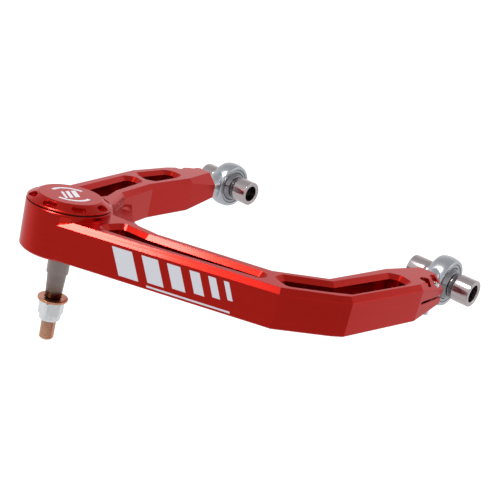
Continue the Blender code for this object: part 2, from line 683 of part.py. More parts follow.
def build_stud(ball_reach):
    tip = STUD_TIP
    clip_low = ball_reach + FIT_GAP
    clip_high = clip_low + CLIP_HEIGHT
    groove = STUD_SHOULDER - CLIP_GROOVE
    stud_top = clip_high + 2.0 * tip
    profile = (
        (0.0, stud_top),
        (STUD_SHOULDER - tip, stud_top),
        (STUD_SHOULDER, stud_top - tip),
        (STUD_SHOULDER, clip_high + FIT_GAP / 2),
        (groove, clip_high + FIT_GAP / 2),
        (groove, clip_low - FIT_GAP / 2),
        (STUD_SHOULDER, clip_low - FIT_GAP / 2),
        (STUD_SHOULDER, STUD_SHOULDER_END + 0.6 * MM),
        (STUD_SHOULDER - 0.6 * MM, STUD_SHOULDER_END),
        (STUD_TAPER_TOP, STUD_SHOULDER_END),
        (STUD_TAPER_BOTTOM, STUD_TAPER_END),
        (STUD_THREAD, STUD_TAPER_END - 0.5 * MM),
        (STUD_THREAD, STUD_END + tip),
        (STUD_THREAD - tip, STUD_END),
        (0.0, STUD_END),
    )
    stud = revolve("stud", profile, STUD_STEEL)
    place(stud, joint_place())
    inner = groove + FIT_GAP
    clip_edge = STUD_SHOULDER + CLIP_LIP
    clip = ((inner, clip_low), (clip_edge, clip_low), (clip_edge, clip_high), (inner, clip_high))
    place(revolve("stud_clip", clip, SPRING_STEEL), joint_place())
    top = STUD_TAPER_END - 0.5 * MM - FIT_GAP
    bore = STUD_THREAD + FIT_GAP
    washer_bore = STUD_TAPER_BOTTOM + FIT_GAP
    low = top - WASHER_THICKNESS
    edge = 0.4 * MM
    washer = (
        (washer_bore, low),
        (WASHER_RADIUS - edge, low),
        (WASHER_RADIUS, low + edge),
        (WASHER_RADIUS, top - edge),
        (WASHER_RADIUS - edge, top),
        (washer_bore, top),
    )
    place(revolve("stud_washer", washer, YELLOW_ZINC), joint_place())
    nut_top = low - FIT_GAP
    nut_low = nut_top - NUT_HEIGHT
    collar = nut_low + 5.0 * MM
    nut = hexagon("lock_nut", NUT_FLATS, collar - 2.0 * MM, nut_top)
    nut.data.materials.append(BRIGHT_ZINC)
    corner = NUT_FLATS / math.sqrt(3.0)
    flat = NUT_FLATS / 2
    rise = 0.4 * MM
    bevel = revolve(
        "nut_bevel_helper",
        (
            (0.0, collar - 3.0 * MM),
            (flat - rise, collar - 3.0 * MM),
            (flat - rise, collar - 0.6 * MM),
            (corner + rise, collar + 0.9 * MM),
            (corner + rise, nut_top - 1.2 * MM),
            (flat - 0.7 * MM, nut_top + rise),
            (0.0, nut_top + rise),
        ),
    )
    combine(nut, "INTERSECT", place(bevel, joint_place()))
    dome = revolve(
        "nut_collar_helper",
        (
            (0.0, nut_low),
            (flat - 1.2 * MM, nut_low),
            (flat - 0.5 * MM, nut_low + 0.5 * MM),
            (flat - 0.3 * MM, nut_low + 1.6 * MM),
            (flat - 0.3 * MM, nut_top - 2.0 * MM),
            (0.0, nut_top - 2.0 * MM),
        ),
    )
    combine(nut, "UNION", place(dome, joint_place()))
    insert_low = nut_low + 1.4 * MM
    groove_wall = flat - 1.5 * MM
    insert_high = insert_low + NUT_INSERT_HEIGHT
    hole = revolve(
        "nut_bore_cutter",
        (
            (0.0, nut_low - MM),
            (bore, nut_low - MM),
            (bore, insert_low - FIT_GAP),
            (groove_wall, insert_low - FIT_GAP),
            (groove_wall, insert_high + FIT_GAP),
            (bore, insert_high + FIT_GAP),
            (bore, nut_top + MM),
            (0.0, nut_top + MM),
        ),
    )
    cut(nut, place(hole, joint_place()))
    place(nut, joint_place())
    edge = groove_wall - FIT_GAP
    insert = ((bore, insert_low), (edge, insert_low), (edge, insert_high), (bore, insert_high))
    place(revolve("nut_insert", insert, NYLON), joint_place())


def build_rod_end(side, name):
    """Head and shank, race, ball and the two spacers of one rod end, about a pivot axis along Y."""
    centre = (0.0, side * PIVOT_HALF_SPAN, 0.0)
    along_y = Matrix.Rotation(math.radians(-90), 4, "X")
    along_x = Matrix.Rotation(math.radians(90), 4, "Y")
    half = HEAD_HALF_WIDTH
    head = [(HEAD_BORE, -half + HEAD_EDGE), (HEAD_BORE + HEAD_EDGE, -half)]
    face = HEAD_RADIUS - 1.8 * MM
    for step in range(7):
        turn = math.radians(-90.0 + 180.0 * step / 6)
        head.append((face + (HEAD_RADIUS - face) * math.cos(turn), half * math.sin(turn)))
    head += [(HEAD_BORE + HEAD_EDGE, half), (HEAD_BORE, half - HEAD_EDGE)]
    body = place(revolve(f"{name}_rod_end", head, HEAD_ZINC), centre, along_y)
    tip = SHANK_TIP
    shank = revolve(
        f"{name}_shank_helper",
        (
            (0.0, SHANK_START),
            (HEAD_HALF_WIDTH - 0.6 * MM, SHANK_START),
            (SHANK_RADIUS + 0.8 * MM, SHANK_FILLET_START),
            (SHANK_RADIUS, SHANK_FILLET_END),
            (SHANK_RADIUS, SHANK_LENGTH - tip),
            (SHANK_RADIUS - tip, SHANK_LENGTH),
            (0.0, SHANK_LENGTH),
        ),
        HEAD_ZINC,
        segments=SMALL_SEGMENTS,
    )
    combine(body, "UNION", place(shank, centre, along_x))
    race_outer = HEAD_BORE - FIT_GAP
    inner = BALL_RADIUS + FIT_GAP
    width = HEAD_HALF_WIDTH - 0.6 * MM
    race = sphere_points(inner, -width, width, RACE_STEPS) + [(race_outer, width), (race_outer, -width)]
    place(revolve(f"{name}_race", race, LINER), centre, along_y)
    reach = BALL_HALF_WIDTH
    ball = sphere_points(BALL_RADIUS, -reach, reach, BALL_STEPS)
    ball += [(BALL_BORE, reach), (BALL_BORE, -reach)]
    place(revolve(f"{name}_ball", ball, BALL_CHROME), centre, along_y)
    neck_end, flare, full = SPACER_STEPS
    seat = BALL_HALF_WIDTH + FIT_GAP
    spacer = (
        (SPACER_BORE + 0.5 * MM, FIT_GAP),
        (BALL_BORE - FIT_GAP, FIT_GAP),
        (BALL_BORE - FIT_GAP, seat),
        (SPACER_NECK, seat),
        (SPACER_NECK, neck_end),
        (SPACER_NECK + 0.3 * MM, flare),
        (SPACER_RADIUS, full),
        (SPACER_RADIUS, SPACER_END - 0.5 * MM),
        (SPACER_RADIUS - 0.5 * MM, SPACER_END),
        (SPACER_BORE + 0.6 * MM, SPACER_END),
        (SPACER_BORE, SPACER_END - 0.6 * MM),
        (SPACER_BORE, FIT_GAP + 0.5 * MM),
    )
    for where, turn in (("outer", -90.0), ("inner", 90.0)):
        made = revolve(f"{name}_spacer_{where}", spacer, SPACER_STEEL)
        place(made, centre, Matrix.Rotation(math.radians(turn * side), 4, "X"))


def build_bolts(side, name):
    for number, x in enumerate(BOLT_XS, 1):
        seat = BOLT_SEAT + FIT_GAP
        top = seat + BOLT_HEAD_HEIGHT
        bolt = revolve(
            f"{name}_pinch_bolt_{number}",
            (
                (0.0, BOLT_END),
                (BOLT_RADIUS - 0.6 * MM, BOLT_END),
                (BOLT_RADIUS, BOLT_END + 0.6 * MM),
                (BOLT_RADIUS, seat),
                (BOLT_HEAD_RADIUS, seat),
                (BOLT_HEAD_RADIUS, top - 0.5 * MM),
                (BOLT_HEAD_RADIUS - 0.5 * MM, top),
                (0.0, top),
            ),
            BOLT_ZINC,
            segments=SMALL_SEGMENTS,
        )
        floor = top - BOLT_SOCKET_DEPTH
        socket = hexagon(f"{name}_socket_cutter_{number}", BOLT_SOCKET_FLATS, floor, top + MM)
        cut(bolt, socket)
        place(bolt, bolt_point(side, x))
        place(socket, bolt_point(side, x))


clear_scene()
build_arm()
build_cap()
build_stud(build_joint_inside())
for leg_side, leg_name in ((1, "front"), (-1, "rear")):
    build_rod_end(leg_side, leg_name)
    build_bolts(leg_side, leg_name)
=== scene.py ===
# %% [markdown]
# # A machined suspension control arm
# The CAD frame gives every node its place. This lesson gives each of them its real surface: anodised
# billet, plated forgings, turned steel, a heat-tinted stud. All lengths are in metres.

import bmesh
import bpy
import numpy as np
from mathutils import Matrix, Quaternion, Vector


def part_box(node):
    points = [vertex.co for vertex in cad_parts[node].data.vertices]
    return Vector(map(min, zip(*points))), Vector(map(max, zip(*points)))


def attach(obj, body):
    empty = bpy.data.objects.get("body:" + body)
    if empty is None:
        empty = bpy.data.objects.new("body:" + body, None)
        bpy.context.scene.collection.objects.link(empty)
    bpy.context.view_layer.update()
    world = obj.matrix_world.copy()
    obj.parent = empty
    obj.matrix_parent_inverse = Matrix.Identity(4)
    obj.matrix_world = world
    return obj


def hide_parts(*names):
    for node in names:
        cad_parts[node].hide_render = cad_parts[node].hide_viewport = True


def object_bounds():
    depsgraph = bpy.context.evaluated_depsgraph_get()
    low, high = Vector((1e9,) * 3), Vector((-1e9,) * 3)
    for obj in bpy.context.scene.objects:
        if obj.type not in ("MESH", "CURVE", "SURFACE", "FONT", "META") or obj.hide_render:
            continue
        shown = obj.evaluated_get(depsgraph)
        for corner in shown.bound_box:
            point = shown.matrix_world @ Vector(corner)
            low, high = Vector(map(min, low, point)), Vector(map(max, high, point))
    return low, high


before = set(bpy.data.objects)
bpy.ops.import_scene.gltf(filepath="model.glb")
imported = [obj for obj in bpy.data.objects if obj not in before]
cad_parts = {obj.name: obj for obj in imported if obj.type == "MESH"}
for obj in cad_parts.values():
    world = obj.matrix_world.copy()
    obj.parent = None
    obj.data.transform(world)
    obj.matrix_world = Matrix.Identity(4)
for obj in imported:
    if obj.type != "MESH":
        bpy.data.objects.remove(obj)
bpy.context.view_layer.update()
MM = 0.001

# %% [markdown]
# ## Where things are
# A node's box gives its middle. The ball joint stands upright, and each rod end's ball lies on the pivot
# line, which runs along Y.


# %% Centres of the joints
def middle(node):
    low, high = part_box(node)
    return (low + high) / 2


JOINT = middle("joint_ball")
ROD_ENDS = {side: middle(f"{side}_ball") for side in ("front", "rear")}
OUTWARD = {"front": 1.0, "rear": -1.0}
print("ball joint at", tuple(round(value, 4) for value in JOINT))

# %% [markdown]
# ## Camera, floor and light
# A long lens looks down a little from beyond the ball joint, and is rolled slightly. Metal shows mostly
# what it reflects, so the studio is made of pale walls, a greyer ceiling and a table that glows more behind
# the arm than in front of it. One strong panel draws the bright line along the front leg's chamfer.

# %% Camera
EYE = Vector((0.7353, 0.4514, 0.2396))
AIM = Vector((0.1403, 0.0185, 0.0))
ROLL = np.radians(13.74)
LENS = 65.75
SENSOR = 36.0
NEAREST = 0.01
FARTHEST = 60.0

camera = bpy.data.objects.new("camera", bpy.data.cameras.new("camera"))
bpy.context.scene.collection.objects.link(camera)
camera.rotation_mode = "QUATERNION"
camera.location = EYE
camera.rotation_quaternion = (AIM - EYE).to_track_quat("-Z", "Y") @ Quaternion((0, 0, 1), ROLL)
camera.data.lens = LENS
camera.data.sensor_width = SENSOR
camera.data.clip_start = NEAREST
camera.data.clip_end = FARTHEST
bpy.context.scene.camera = camera
bpy.context.scene.view_settings.view_transform = "Standard"
print("camera stands", round((AIM - EYE).length, 3), "m from the arm")


# %% Colours and shader nodes
def linear(hex_colour):
    """sRGB hex to linear RGBA: the standard curve, a straight piece near black and a power above it."""
    value = np.array([int(hex_colour[i : i + 2], 16) for i in (1, 3, 5)]) / 255
    curved = np.where(value <= 0.04045, value / 12.92, ((value + 0.055) / 1.055) ** 2.4)
    return (*curved.tolist(), 1.0)


def add(tree, kind, settings=None, links=None):
    """Adds one node. A setting goes to the socket of that name, or else to the node's own property."""
    node = tree.nodes.new("ShaderNode" + kind)
    for key, value in (settings or {}).items():
        if isinstance(key, int) or key in node.inputs:
            node.inputs[key].default_value = value
        else:
            setattr(node, key, value)
    for key, output in (links or {}).items():
        tree.links.new(output, node.inputs[key])
    return node


# %% Sheet of quads
def grid_mesh(name, points, wrap_u=False, wrap_v=False):
    """A sheet of quads through points[u, v]: each quad joins a point to the next along u and v."""
    rows, columns = points.shape[:2]
    index = np.arange(rows * columns).reshape(rows, columns)
    if wrap_u:
        index = np.vstack([index, index[:1]])
    if wrap_v:
        index = np.hstack([index, index[:, :1]])
    quads = np.stack([index[:-1, :-1], index[1:, :-1], index[1:, 1:], index[:-1, 1:]], axis=-1)
    mesh = bpy.data.meshes.new(name)
    mesh.from_pydata(points.reshape(-1, 3).tolist(), [], quads.reshape(-1, 4).tolist())
    return mesh


# %% Floor
FLOOR_DROP = 0.16
FLOOR_HALF = 14.0
FLOOR_ROUGHNESS = 0.9
FLOOR_SHOWN = 0.85  # glow that the camera sees, which keeps the table white
FLOOR_GLOW = (0.45, 0.2)  # glow that lights the part, behind the arm and in front of it
GLOW_FADE = (0.12, 0.6)  # metres from the origin toward the camera
floor_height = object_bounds()[0].z - FLOOR_DROP
span = np.linspace(-FLOOR_HALF, FLOOR_HALF, 2)
floor_x, floor_y = np.meshgrid(span, span, indexing="ij")
floor_points = np.stack([floor_x, floor_y, np.full_like(floor_x, floor_height)], axis=-1)
floor = bpy.data.objects.new("floor", grid_mesh("floor", floor_points))
bpy.context.scene.collection.objects.link(floor)

paint = bpy.data.materials.new("pale_studio_floor")
paint.use_nodes = True
shader = paint.node_tree.nodes["Principled BSDF"]
shader.inputs["Base Color"].default_value = linear("#A4A4A4")
shader.inputs["Roughness"].default_value = FLOOR_ROUGHNESS
shader.inputs["Emission Color"].default_value = linear("#FFFFFF")
toward = Vector((EYE.x - AIM.x, EYE.y - AIM.y, 0.0)).normalized()
sheet = paint.node_tree
spot = add(sheet, "TexCoord")
reach = add(sheet, "VectorMath", {"operation": "DOT_PRODUCT", 1: toward}, {0: spot.outputs["Object"]})
fade = {
    "From Min": GLOW_FADE[0],
    "From Max": GLOW_FADE[1],
    "To Min": FLOOR_GLOW[0],
    "To Max": FLOOR_GLOW[1],
    "interpolation_type": "SMOOTHSTEP",
}
glow = add(sheet, "MapRange", fade, {"Value": reach.outputs["Value"]})
seen = add(sheet, "LightPath")
shown = add(
    sheet,
    "Mix",
    {"data_type": "FLOAT", 3: FLOOR_SHOWN},
    {"Factor": seen.outputs["Is Camera Ray"], 2: glow.outputs["Result"]},
)
sheet.links.new(shown.outputs[0], shader.inputs["Emission Strength"])
floor.data.materials.append(paint)

# %% Light
WORLD_LIGHT = 1.03
STUDIO_SHADES = (
    # sine of the elevation, colour: white at the horizon, pale walls, and a greyer ceiling
    (0.08, "#FFFFFF"),
    (0.18, "#F3F3F3"),
    (0.42, "#F3F3F3"),
    (0.8, "#C8C8C8"),
)
PANELS = (
    # name, place, aim, width, height, watts
    ("overhead", (1.0, -0.33, 1.4), (0.25, 0.0, 0.0), 0.38, 0.38, 18.0),
    ("overhead_dim", (0.82, 0.1, 1.4), (0.25, 0.0, 0.0), 0.3, 0.34, 0.4),
    ("far_side", (-1.2, 1.5, 0.5), (0.1, 0.0, 0.0), 0.8, 0.8, 3.0),
)

world = bpy.data.worlds.new("studio")
world.use_nodes = True
sky = world.node_tree
background = sky.nodes["Background"]
background.inputs["Strength"].default_value = WORLD_LIGHT
upward = add(sky, "SeparateXYZ", None, {"Vector": add(sky, "TexCoord").outputs["Generated"]})
shade = add(sky, "ValToRGB", None, {"Fac": upward.outputs["Z"]})
while len(shade.color_ramp.elements) < len(STUDIO_SHADES):
    shade.color_ramp.elements.new(0.5)
for element, (position, colour) in zip(shade.color_ramp.elements, STUDIO_SHADES):
    element.position = position
    element.color = linear(colour)
sky.links.new(shade.outputs["Color"], background.inputs["Color"])
bpy.context.scene.world = world
for name, place, aim, width, height, watts in PANELS:
    data = bpy.data.lights.new(name, "AREA")
    data.shape = "RECTANGLE"
    data.size = width
    data.size_y = height
    data.energy = watts
    panel = bpy.data.objects.new(name, data)
    bpy.context.scene.collection.objects.link(panel)
    panel.location = place
    panel.rotation_mode = "QUATERNION"
    panel.rotation_quaternion = (Vector(aim) - Vector(place)).to_track_quat("-Z", "Y")
print("lit by", len(PANELS), "panels")

# %% [markdown]
# ## Red anodised aluminium
# The arm and the cap are milled from billet and dyed. The oxide film keeps the metal's gloss, so it is a
# metal with a deep red tint. Cutters leave fine level lines on the walls and faint arcs on the top.


# %% Surface parts shared by the finishes
def new_finish(name):
    made = bpy.data.materials.new(name)
    made.use_nodes = True
    tree = made.node_tree
    return made, tree, tree.nodes["Principled BSDF"]


def streaks(tree, scales, detail=2.0):
    """Noise stretched along one way: the large scale runs across the lines, the small ones along them."""
    place = add(tree, "TexCoord")
    mapping = add(tree, "Mapping", {"Scale": scales}, {"Vector": place.outputs["Object"]})
    return add(
        tree, "TexNoise", {"Scale": 1.0, "Detail": detail}, {"Vector": mapping.outputs["Vector"]}
    )


def spread(tree, output, low, high):
    """Turns a noise pattern, which stays mostly from 0.25 to 0.75, into a value between low and high."""
    made = add(tree, "MapRange", {"From Min": 0.25, "From Max": 0.75}, {"Value": output})
    made.inputs["To Min"].default_value = low
    made.inputs["To Max"].default_value = high
    return made.outputs["Result"]


def relief(tree, shader, output, depth, normal=None):
    """Raises the surface by a pattern, depth in metres."""
    links = {"Height": output}
    if normal is not None:
        links["Normal"] = normal
    bump = add(tree, "Bump", {"Strength": 1.0, "Distance": depth}, links)
    tree.links.new(bump.outputs["Normal"], shader.inputs["Normal"])


def tinted(tree, shader, output, dark, light):
    """Colours the base between two hex colours by a pattern."""
    ramp = add(tree, "ValToRGB", None, {"Fac": output})
    ramp.color_ramp.elements[0].position = 0.3
    ramp.color_ramp.elements[0].color = linear(dark)
    ramp.color_ramp.elements[1].position = 0.7
    ramp.color_ramp.elements[1].color = linear(light)
    tree.links.new(ramp.outputs["Color"], shader.inputs["Base Color"])
    return ramp


# %% Red anodised finish
MILL_LINE = 1.6 * MM  # drawn coarser than the real 0.2 mm feed, which would not show
MILL_ARC = 1.4 * MM
EDGE_BREAK = 0.45 * MM
MILL_RELIEF = 0.0015 * MM
FILM_WEIGHT = 0.2  # the clear oxide film over the dye
FILM_ROUGHNESS = 0.14


def red_anodised():
    made, tree, shader = new_finish("red_anodised_milled_aluminium")
    shader.inputs["Metallic"].default_value = 1.0
    wall = streaks(tree, (8.0, 8.0, 1.0 / MILL_LINE))
    place = add(tree, "TexCoord")
    centre = add(
        tree, "Mapping", {"Location": (0.4, 0.5, 0.0)}, {"Vector": place.outputs["Object"]}
    )
    arcs = add(
        tree,
        "TexWave",
        {"wave_type": "RINGS", "rings_direction": "Z", "Scale": 0.31 / MILL_ARC, "Distortion": 1.5},
        {"Vector": centre.outputs["Vector"]},
    )
    facing = add(tree, "SeparateXYZ", None, {"Vector": add(tree, "NewGeometry").outputs["Normal"]})
    level = add(tree, "Math", {"operation": "ABSOLUTE"}, {0: facing.outputs["Z"]})
    pattern = add(
        tree,
        "Mix",
        {"data_type": "FLOAT"},
        {"Factor": level.outputs[0], 2: wall.outputs["Fac"], 3: arcs.outputs["Fac"]},
    )
    tinted(tree, shader, wall.outputs["Fac"], "#B2170D", "#B8190E")
    tree.links.new(spread(tree, pattern.outputs[0], 0.245, 0.262), shader.inputs["Roughness"])
    rounded = add(tree, "Bevel", {"samples": 6, "Radius": EDGE_BREAK})
    relief(tree, shader, pattern.outputs[0], MILL_RELIEF, rounded.outputs["Normal"])
    shader.inputs["Specular Tint"].default_value = linear("#FFE4E6")
    shader.inputs["Coat Weight"].default_value = FILM_WEIGHT
    shader.inputs["Coat Roughness"].default_value = FILM_ROUGHNESS
    return made


RED = red_anodised()

# %% [markdown]
# ## Steel, zinc, rubber and plastic
# Turned pieces carry fine rings round their axis, plated ones a soft mottle, and the stud the colours
# that heat leaves on steel, with its upper part coloured dark, partly its own tone and partly painted shade
# under the arm.


# %% Metals
def turned_steel(name, dark, light, axis, rough, ring=0.9 * MM):
    """Rings round one axis: the noise is stretched round it and fine along it."""
    made, tree, shader = new_finish(name)
    shader.inputs["Metallic"].default_value = 1.0
    scales = [6.0, 6.0, 6.0]
    scales["XYZ".index(axis)] = 1.0 / ring
    rings = streaks(tree, scales, 3.0)
    tinted(tree, shader, rings.outputs["Fac"], dark, light)
    gloss = spread(tree, rings.outputs["Fac"], rough * 0.8, rough * 1.25)
    tree.links.new(gloss, shader.inputs["Roughness"])
    relief(tree, shader, rings.outputs["Fac"], 0.001 * MM)
    return made


def plated(name, dark, light, rough, grain=2.5 * MM):
    """Zinc plate: satin, with faint cloudy patches a few millimetres across."""
    made, tree, shader = new_finish(name)
    shader.inputs["Metallic"].default_value = 1.0
    clouds = streaks(tree, (1.0 / grain,) * 3, 1.0)
    tinted(tree, shader, clouds.outputs["Fac"], dark, light)
    gloss = spread(tree, clouds.outputs["Fac"], rough * 0.93, rough * 1.08)
    tree.links.new(gloss, shader.inputs["Roughness"])
    relief(tree, shader, clouds.outputs["Fac"], 0.0001 * MM)
    return made


TINT_LOW = -96.6 * MM  # the stud's tip
TINT_HIGH = -36.0 * MM  # above its taper


def stud_finish():
    """Ground steel coloured dark on its upper part, partly its own tone and partly painted shade under the
    arm; straw and blue from heat at the foot of the taper, and copper brown on the thread.
    """
    made, tree, shader = new_finish("heat_tinted_ground_steel_with_painted_shade")
    shader.inputs["Metallic"].default_value = 1.0
    place = add(tree, "TexCoord")
    height = add(tree, "SeparateXYZ", None, {"Vector": place.outputs["Object"]})
    cloud = streaks(tree, (140.0, 140.0, 260.0), 4.0)
    wander = add(
        tree,
        "Math",
        {"operation": "MULTIPLY_ADD", 1: 7.0 * MM, 2: -3.5 * MM},
        {0: cloud.outputs["Fac"]},
    )
    moved = add(tree, "Math", {"operation": "ADD"}, {0: height.outputs["Z"], 1: wander.outputs[0]})
    along = add(
        tree, "MapRange", {"From Min": TINT_LOW, "From Max": TINT_HIGH}, {"Value": moved.outputs[0]}
    )
    ramp = add(tree, "ValToRGB", None, {"Fac": along.outputs["Result"]})
    heat_tint_and_painted_shade_stops = (
        (0.0, "#C29478"),
        (0.3, "#B48C78"),
        (0.52, "#8F6C5C"),
        (0.6, "#6B4A3C"),
        (0.66, "#4A3634"),
        # from here up the ground part is coloured dark: partly the steel's own tone, partly painted shade
        # under the arm
        (0.74, "#75635A"),
        (0.84, "#837674"),
        (1.0, "#8A7E7B"),
    )
    while len(ramp.color_ramp.elements) < len(heat_tint_and_painted_shade_stops):
        ramp.color_ramp.elements.new(0.5)
    for element, (position, colour) in zip(ramp.color_ramp.elements, heat_tint_and_painted_shade_stops):
        element.position = position
        element.color = linear(colour)
    tree.links.new(ramp.outputs["Color"], shader.inputs["Base Color"])
    rings = streaks(tree, (5.0, 5.0, 1400.0), 2.0)
    tree.links.new(spread(tree, rings.outputs["Fac"], 0.2, 0.36), shader.inputs["Roughness"])
    relief(tree, shader, rings.outputs["Fac"], 0.003 * MM)
    return made


def yellow_zinc():
    """Yellow chromate over zinc: the thin film shifts between gold, pink and green."""
    made, tree, shader = new_finish("yellow_chromate_zinc_plate")
    shader.inputs["Metallic"].default_value = 1.0
    clouds = streaks(tree, (160.0, 160.0, 160.0), 4.0)
    ramp = tinted(tree, shader, clouds.outputs["Fac"], "#C07A66", "#C9A25C")
    middle_stop = ramp.color_ramp.elements.new(0.5)
    middle_stop.color = linear("#C98C78")
    tree.links.new(spread(tree, clouds.outputs["Fac"], 0.2, 0.34), shader.inputs["Roughness"])
    relief(tree, shader, clouds.outputs["Fac"], 0.006 * MM)
    return made


# %% Rubber and plastics
def soft_finish(name, dark, light, rough, grain):
    """Moulded polymer: even colour with a faint mottle and a fine leathery grain."""
    made, tree, shader = new_finish(name)
    specks = streaks(tree, (1.0 / grain,) * 3, 6.0)
    tinted(tree, shader, specks.outputs["Fac"], dark, light)
    gloss = spread(tree, specks.outputs["Fac"], rough * 0.85, rough * 1.15)
    tree.links.new(gloss, shader.inputs["Roughness"])
    relief(tree, shader, specks.outputs["Fac"], 0.02 * MM)
    return made


ZINC_HEAD = plated("zinc_plated_forged_steel", "#B1B4BA", "#B5B8BE", 0.27)
ZINC_BOLT = plated("zinc_plated_screw_steel", "#B4BCC4", "#D6DADE", 0.2)
ZINC_NUT = plated("bright_zinc_plated_steel", "#D8DADC", "#E0E2E4", 0.22)
STEEL_Y = turned_steel("turned_stainless_steel_across", "#AEA4A6", "#B8AEB0", "Y", 0.2, 0.35 * MM)
# the rod-end ball's chrome is coloured darker than bright chrome: painted shade for the dark gap between
# the eye and the spacers
PAINTED_SHADE_CHROME_Y = turned_steel("hard_chromed_rod_end_ball_darkened_as_painted_shade", "#808085", "#8C8C91", "Y", 0.12, 0.3 * MM)
CHROME_Z = turned_steel("hard_chromed_joint_ball", "#909296", "#9C9EA2", "Z", 0.12, 0.3 * MM)
SPRING = turned_steel("oiled_spring_steel", "#4C4C50", "#6A6A6E", "Z", 0.32)
RACE = turned_steel("rolled_bearing_race_steel", "#8E9096", "#B2B4B8", "Y", 0.24)
STUD = stud_finish()
YELLOW = yellow_zinc()
RUBBER = soft_finish("moulded_nitrile_rubber", "#0A0A0A", "#161616", 0.6, 0.8 * MM)
POLYMER = soft_finish("moulded_bearing_polymer", "#CFC8B2", "#DCD6C4", 0.45, 1.0 * MM)
NYLON = soft_finish("moulded_nylon", "#B8B8B2", "#CECEC8", 0.45, 1.0 * MM)
print(len(bpy.data.materials), "finishes made")

# %% [markdown]
# ## Smooth copies of the milled nodes
# The arm and the cap already have their true shape. A copy has its loose triangles joined, and its round
# walls are shaded smooth while every milled edge stays sharp.


# %% Joined and smoothed copy
CREASE = 6.5  # degrees: over the 5 between the facets of the round boss, under the 8 of the leg's fold


def finished(piece, body, node, finish):
    piece.data.materials.clear()
    piece.data.materials.append(finish)
    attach(piece, body)
    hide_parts(*([node] if isinstance(node, str) else node))
    print(piece.name, len(piece.data.polygons), "faces")
    return piece


def joined_copy(node, name, crease):
    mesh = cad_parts[node].data.copy()
    mesh.name = name
    work = bmesh.new()
    work.from_mesh(mesh)
    bmesh.ops.remove_doubles(work, verts=work.verts, dist=0.002 * MM)
    bmesh.ops.dissolve_limit(
        work, angle_limit=np.radians(0.6), verts=work.verts, edges=work.edges
    )
    work.to_mesh(mesh)
    work.free()
    mesh.shade_smooth()
    mesh.set_sharp_from_angle(angle=np.radians(crease))
    made = bpy.data.objects.new(name, mesh)
    bpy.context.scene.collection.objects.link(made)
    flats = made.modifiers.new("flats_stay_flat", "WEIGHTED_NORMAL")
    flats.mode = "FACE_AREA"
    flats.weight = 100
    flats.keep_sharp = True
    return made


for node, name in (("arm_body", "arm_billet"), ("ball_joint_cap", "cap_billet")):
    finished(joined_copy(node, name, CREASE), "arm", node, RED)

# %% [markdown]
# ## Printed marks
# Pale ink is laid on the arm: a row of slanted bars that grow along the front leg, with a fine line under
# them, and two arcs round three bars on the cap. Each mark is a thin film with its back inside the metal.

# %% Sizes of the marks
INK = 0.12 * MM  # thickness, of which a third to a half stands proud of the metal
FORWARD = Vector((1.0, 0.0, 0.0))
LEFT = Vector((0.0, 1.0, 0.0))
UP = Vector((0.0, 0.0, 1.0))
LEG_FOLD = Vector((0.2215, 0.1125, 0.0))
LEG_ALONG = Vector((81.3, -167.0, 0.0)).normalized()
LEG_OUT = Vector((167.0, 81.3, 0.0)).normalized()
LEG_BARS = (
    # start along the leg from its fold, width, low and high edge, in millimetres
    (105.0, 16.0, -11.5, 9.5),
    (85.0, 13.0, -10.0, 9.5),
    (68.0, 10.5, -8.5, 9.5),
    (53.5, 8.0, -7.0, 9.5),
    (41.5, 6.0, -5.5, 9.5),
    (32.0, 4.0, -4.0, 9.5),
)
LEG_LINE = (32.0, 66.0, -13.8, -12.4)
SLANT = 0.45  # how far an edge leans along the leg for each millimetre that it climbs
CAP_FACE = 28.0 * MM
CAP_ARCS = (
    # inner and outer radius in millimetres, first and last angle in degrees
    (13.6, 16.4, 15.0, 120.0),
    (13.6, 16.4, 195.0, 300.0),
)
# the same four sizes for each of the cap's bars as for the leg's
CAP_BARS = ((-10.0, 4.6, -7.0, 7.0), (-3.4, 3.4, -7.0, 7.0), (2.2, 2.2, -7.0, 7.0))


# %% Ink film
def film(name, outlines, origin, across, up, out):
    """Closed slabs: each outline of (across, up) in millimetres, once inside the metal and once proud."""
    work = bmesh.new()
    for outline in outlines:
        rings = []
        for depth in (-INK / 2, INK / 2):
            spots = [origin + (across * u + up * v) * MM + out * depth for u, v in outline]
            rings.append([work.verts.new(spot) for spot in spots])
        back, front = rings
        work.faces.new(back)
        work.faces.new(front)
        for first in range(len(outline)):
            after = (first + 1) % len(outline)
            work.faces.new((back[first], back[after], front[after], front[first]))
    bmesh.ops.recalc_face_normals(work, faces=work.faces)
    mesh = bpy.data.meshes.new(name)
    work.to_mesh(mesh)
    work.free()
    made = bpy.data.objects.new(name, mesh)
    bpy.context.scene.collection.objects.link(made)
    made.data.materials.append(INK_PALE)
    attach(made, "arm")
    return made


def slanted_bar(start, width, low, high):
    """A parallelogram whose ends lean by SLANT."""
    lean = SLANT * (high - low)
    return [(start, low), (start + width, low), (start + width + lean, high), (start + lean, high)]


def arc_band(inner, outer, first, last, steps=40):
    """A band of a ring between two angles."""
    turn = np.radians(np.linspace(first, last, steps))
    outside = [(outer * np.cos(t), outer * np.sin(t)) for t in turn]
    return outside + [(inner * np.cos(t), inner * np.sin(t)) for t in turn[::-1]]


# %% Place the marks
INK_PALE = soft_finish("pale_screen_printed_ink", "#CACAD2", "#D0D0D8", 0.5, 0.6 * MM)
bars = [slanted_bar(*bar) for bar in (*LEG_BARS, LEG_LINE)]
film("leg_mark", bars, LEG_FOLD, LEG_ALONG, UP, LEG_OUT)
arcs = [arc_band(*arc) for arc in CAP_ARCS] + [slanted_bar(*bar) for bar in CAP_BARS]
cap_centre = Vector((JOINT.x, JOINT.y, CAP_FACE))
film("cap_mark", arcs, cap_centre, FORWARD, LEFT, UP)

# %% [markdown]
# ## Turned pieces
# A lathe carries one profile round an axis. The profile's corners are broken first by small curves,
# because a real turned edge is never sharp and the break is what catches the light.

